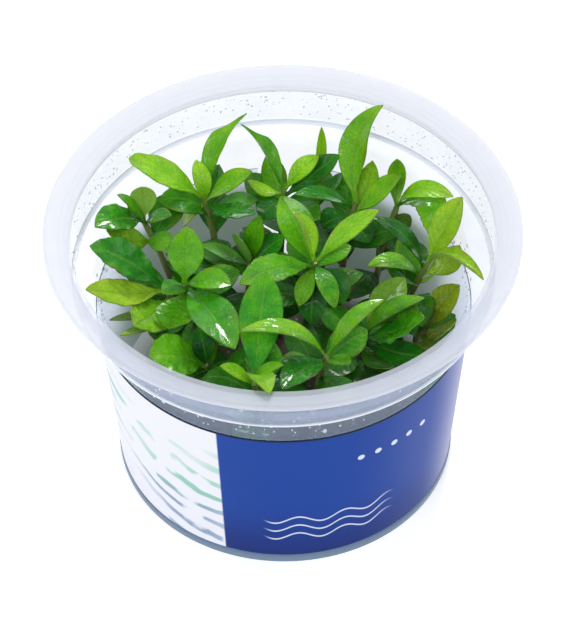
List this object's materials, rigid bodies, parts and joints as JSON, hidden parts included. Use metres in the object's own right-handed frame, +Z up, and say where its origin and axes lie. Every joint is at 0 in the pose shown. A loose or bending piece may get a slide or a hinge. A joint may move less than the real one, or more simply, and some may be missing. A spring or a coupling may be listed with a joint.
{
  "type": "aquarium stem plants in a tissue-culture cup",
  "caption": "Clear plastic tissue-culture cup with a printed sleeve, holding leafy green aquarium stem plants rooted in gel.",
  "frame": {"origin": "centre of the cup's base, on the plane it stands on", "axes": "+Z up along the cup's axis, -Y towards the front, +X to the right as seen from the front"},
  "size_m": [0.1012, 0.1012, 0.0682],
  "materials": {
    "clear_plastic": "satin",
    "printed_sleeve": "satin",
    "gel": "gloss",
    "leaf": "gloss",
    "stem": "satin"
  },
  "bodies": {
    "root": {"cup": "clear_plastic", "gel": "gel", "label": "printed_sleeve", "leaf_a1": "leaf", "leaf_a2": "leaf", "leaf_a3": "leaf", "leaf_a4": "leaf", "leaf_b1": "leaf", "leaf_b2": "leaf", "leaf_b3": "leaf", "leaf_b4": "leaf", "leaf_c1": "leaf", "leaf_c2": "leaf", "leaf_c3": "leaf", "leaf_c4": "leaf", "leaf_d1": "leaf", "leaf_e1": "leaf", "leaf_e2": "leaf", "leaf_e3": "leaf", "leaf_e4": "leaf", "leaf_e5": "leaf", "leaf_g1": "leaf", "leaf_g2": "leaf", "leaf_h1": "leaf", "leaf_h2": "leaf", "leaf_h3": "leaf", "leaf_h4": "leaf", "leaf_h5": "leaf", "leaf_i1": "leaf", "leaf_i2": "leaf", "leaf_i3": "leaf", "leaf_j1": "leaf", "leaf_j2": "leaf", "leaf_j3": "leaf", "leaf_j4": "leaf", "leaf_k1": "leaf", "leaf_k2": "leaf", "leaf_k3": "leaf", "leaf_l1": "leaf", "leaf_m1": "leaf", "leaf_m2": "leaf", "leaf_n1": "leaf", "leaf_n2": "leaf", "leaf_n3": "leaf", "stem_a": "stem", "stem_b": "stem", "stem_c": "stem", "stem_d": "stem", "stem_e": "stem", "stem_g": "stem", "stem_h": "stem", "stem_i": "stem", "stem_j": "stem", "stem_k": "stem", "stem_l": "stem", "stem_m": "stem", "stem_n": "stem", "stem_o": "stem", "stem_q": "stem", "stem_r": "stem"}
  },
  "joints": []
}
